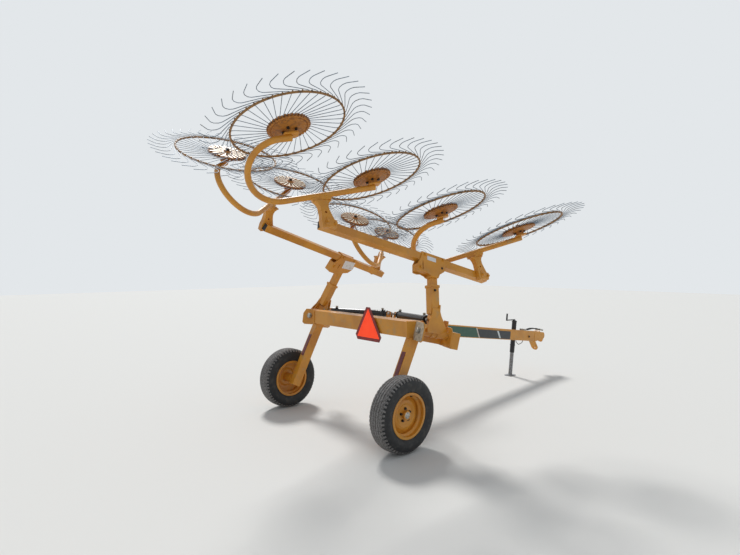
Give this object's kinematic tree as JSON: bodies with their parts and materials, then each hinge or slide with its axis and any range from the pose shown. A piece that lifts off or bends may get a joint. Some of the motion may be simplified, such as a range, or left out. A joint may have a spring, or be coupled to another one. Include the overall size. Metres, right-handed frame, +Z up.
{
  "type": "wheel rake",
  "caption": "Towed carted V rake folded for transport: two hinged rows of spoked tined wheels on hook rockers, crossbeam on two road wheels, sloping tongue with jack.",
  "frame": {"origin": "on the ground, under the middle of the machine's overall box as it stands parked", "axes": "+X forward along the tongue to the hitch, +Y to the machine's left, +Z up"},
  "size_m": [5.8725, 3.3393, 3.0663],
  "materials": {
    "yellow_paint": "satin",
    "tine_steel": "satin",
    "tyre": "matt",
    "black_paint": "gloss",
    "bright_steel": "satin",
    "hose_rubber": "satin",
    "sign_orange": "gloss",
    "reflector_red": "gloss"
  },
  "bodies": {
    "chassis": {"crossbeam": "yellow_paint", "tongue": "yellow_paint", "pivot_brackets": "yellow_paint", "pivot_pins": "bright_steel", "wheel_legs": "yellow_paint", "cylinder_lugs": "yellow_paint", "hitch_clevis": "yellow_paint", "jack_body": "black_paint", "jack_crank": "black_paint", "slow_sign": "sign_orange", "reflector_strips": "reflector_red", "hydraulic_hoses": "hose_rubber", "hose_couplers": "black_paint"},
    "transport_wheel_right": {"wheel_rim_right": "yellow_paint", "tyre_right": "tyre"},
    "row_right": {"lift_arm_right": "yellow_paint", "slide_tube_right": "yellow_paint", "saddle_right": "yellow_paint", "rake_beam_right": "yellow_paint", "rocker_posts_right": "yellow_paint", "rocker_right_rear": "yellow_paint", "rocker_right_front": "yellow_paint"},
    "rake_wheel_right_1": {"rake_wheel_right_1": "tine_steel"},
    "rake_wheel_right_2": {"rake_wheel_right_2": "tine_steel"},
    "rake_wheel_right_3": {"rake_wheel_right_3": "tine_steel"},
    "rake_wheel_right_4": {"rake_wheel_right_4": "tine_steel"},
    "cylinder_barrel_right": {"cylinder_barrel_right": "black_paint"},
    "cylinder_rod_right": {"cylinder_rod_right": "bright_steel"},
    "transport_wheel_left": {"wheel_rim_left": "yellow_paint", "tyre_left": "tyre"},
    "row_left": {"lift_arm_left": "yellow_paint", "slide_tube_left": "yellow_paint", "saddle_left": "yellow_paint", "rake_beam_left": "yellow_paint", "rocker_posts_left": "yellow_paint", "rocker_left_rear": "yellow_paint", "rocker_left_front": "yellow_paint"},
    "rake_wheel_left_1": {"rake_wheel_left_1": "tine_steel"},
    "rake_wheel_left_2": {"rake_wheel_left_2": "tine_steel"},
    "rake_wheel_left_3": {"rake_wheel_left_3": "tine_steel"},
    "rake_wheel_left_4": {"rake_wheel_left_4": "tine_steel"},
    "cylinder_barrel_left": {"cylinder_barrel_left": "black_paint"},
    "cylinder_rod_left": {"cylinder_rod_left": "bright_steel"},
    "jack_leg": {"jack_leg": "bright_steel"}
  },
  "joints": [
    {"name": "fold_right", "type": "hinge", "parent": "chassis", "child": "row_right", "pos_m": [-0.783, -0.797, 1.03], "axis": [0.8977, -0.3829, -0.2181], "range_deg": [0, 106.9]},
    {"name": "cylinder_tilt_right", "type": "hinge", "parent": "chassis", "child": "cylinder_barrel_right", "pos_m": [-0.37834, 0.105, 1.112], "axis": [0.8977, -0.3829, -0.2181], "range_deg": [0, 2.52]},
    {"name": "cylinder_stroke_right", "type": "slide", "parent": "cylinder_barrel_right", "child": "cylinder_rod_right", "axis": [-0.3853, -0.9222, 0.033], "range_m": [0, 0.2515]},
    {"name": "fold_left", "type": "hinge", "parent": "chassis", "child": "row_left", "pos_m": [-0.783, 1.131, 1.03], "axis": [-0.8977, -0.3829, 0.2181], "range_deg": [0, 118.3]},
    {"name": "cylinder_tilt_left", "type": "hinge", "parent": "chassis", "child": "cylinder_barrel_left", "pos_m": [-0.37834, 0.229, 1.112], "axis": [-0.8977, -0.3829, 0.2181], "range_deg": [0, 0.91]},
    {"name": "cylinder_stroke_left", "type": "slide", "parent": "cylinder_barrel_left", "child": "cylinder_rod_left", "axis": [-0.3911, 0.9203, 0.0058], "range_m": [0, 0.272]},
    {"name": "transport_wheel_spin_right", "type": "hinge", "parent": "chassis", "child": "transport_wheel_right", "pos_m": [-1.197, -0.795, 0.343], "axis": [0, 1, 0], "continuous": true},
    {"name": "transport_wheel_spin_left", "type": "hinge", "parent": "chassis", "child": "transport_wheel_left", "pos_m": [-1.197, 1.129, 0.343], "axis": [0, 1, 0], "continuous": true},
    {"name": "rake_wheel_spin_right_1", "type": "hinge", "parent": "row_right", "child": "rake_wheel_right_1", "pos_m": [-2.22142, -0.5549, 2.75378], "axis": [0.0833, -0.3352, -0.9385], "continuous": true},
    {"name": "rake_wheel_spin_right_2", "type": "hinge", "parent": "row_right", "child": "rake_wheel_right_2", "pos_m": [-1.33696, -0.53749, 2.46666], "axis": [0.0833, -0.3352, -0.9385], "continuous": true},
    {"name": "rake_wheel_spin_right_3", "type": "hinge", "parent": "row_right", "child": "rake_wheel_right_3", "pos_m": [-0.54789, -0.67739, 2.21157], "axis": [0.0833, -0.3352, -0.9385], "continuous": true},
    {"name": "rake_wheel_spin_right_4", "type": "hinge", "parent": "row_right", "child": "rake_wheel_right_4", "pos_m": [0.29972, -1.0252, 2.05162], "axis": [0.0833, -0.3352, -0.9385], "continuous": true},
    {"name": "rake_wheel_spin_left_1", "type": "hinge", "parent": "row_left", "child": "rake_wheel_left_1", "pos_m": [-2.25495, 0.47031, 2.72239], "axis": [0.0797, 0.4922, -0.8668], "continuous": true},
    {"name": "rake_wheel_spin_left_2", "type": "hinge", "parent": "row_left", "child": "rake_wheel_left_2", "pos_m": [-1.38511, 0.76833, 2.58253], "axis": [0.0797, 0.4922, -0.8668], "continuous": true},
    {"name": "rake_wheel_spin_left_3", "type": "hinge", "parent": "row_left", "child": "rake_wheel_left_3", "pos_m": [-0.49089, 0.72888, 2.23627], "axis": [0.0797, 0.4922, -0.8668], "continuous": true},
    {"name": "rake_wheel_spin_left_4", "type": "hinge", "parent": "row_left", "child": "rake_wheel_left_4", "pos_m": [0.3658, 1.072, 2.12082], "axis": [0.0797, 0.4922, -0.8668], "continuous": true},
    {"name": "jack_leg_slide", "type": "slide", "parent": "chassis", "child": "jack_leg", "axis": [0.1307, 0, 0.9914], "range_m": [0, 0.25]}
  ],
  "couplings": [
    {"joint": "cylinder_tilt_right", "follows": "fold_right", "ratio": 0.023523},
    {"joint": "cylinder_stroke_right", "follows": "fold_right", "m_per_rad": 0.13455},
    {"joint": "cylinder_tilt_left", "follows": "fold_left", "ratio": 0.007611},
    {"joint": "cylinder_stroke_left", "follows": "fold_left", "m_per_rad": 0.13151}
  ]
}
